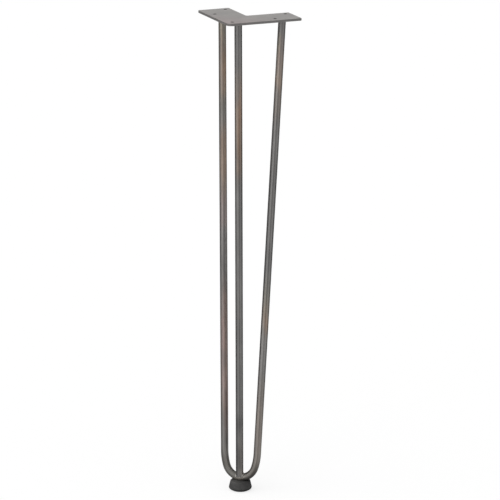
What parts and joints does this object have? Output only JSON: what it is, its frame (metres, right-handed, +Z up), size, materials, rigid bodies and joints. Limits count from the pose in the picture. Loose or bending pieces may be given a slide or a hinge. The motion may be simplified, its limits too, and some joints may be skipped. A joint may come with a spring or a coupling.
{
  "type": "hairpin table leg",
  "caption": "Hairpin table leg: an L-shaped screw plate, a steel rod bent into a narrow U, a straight corner rod welded onto the bend, and a flared rubber foot.",
  "frame": {"origin": "on the plate's upper face, which lies against the table top, straight above the middle of the foot", "axes": "+X from the plate's outer corner towards the middle of the table, along the plate's diagonal; +Y across the leg; +Z up, out of the plate's upper face"},
  "size_m": [0.111, 0.1606, 0.711],
  "materials": {
    "plate_steel": "bare hot-rolled steel, clear coated, satin",
    "rod_steel": "bare drawn steel with faint brown and purple heat tints, satin",
    "weld_metal": "rippled weld bead, brushed clean",
    "foot_rubber": "matte moulded rubber"
  },
  "bodies": {
    "root": {"mounting_plate": "plate_steel", "hairpin_rod": "rod_steel", "corner_rod": "rod_steel", "weld_beads": "weld_metal", "floor_foot": "foot_rubber"}
  },
  "joints": []
}
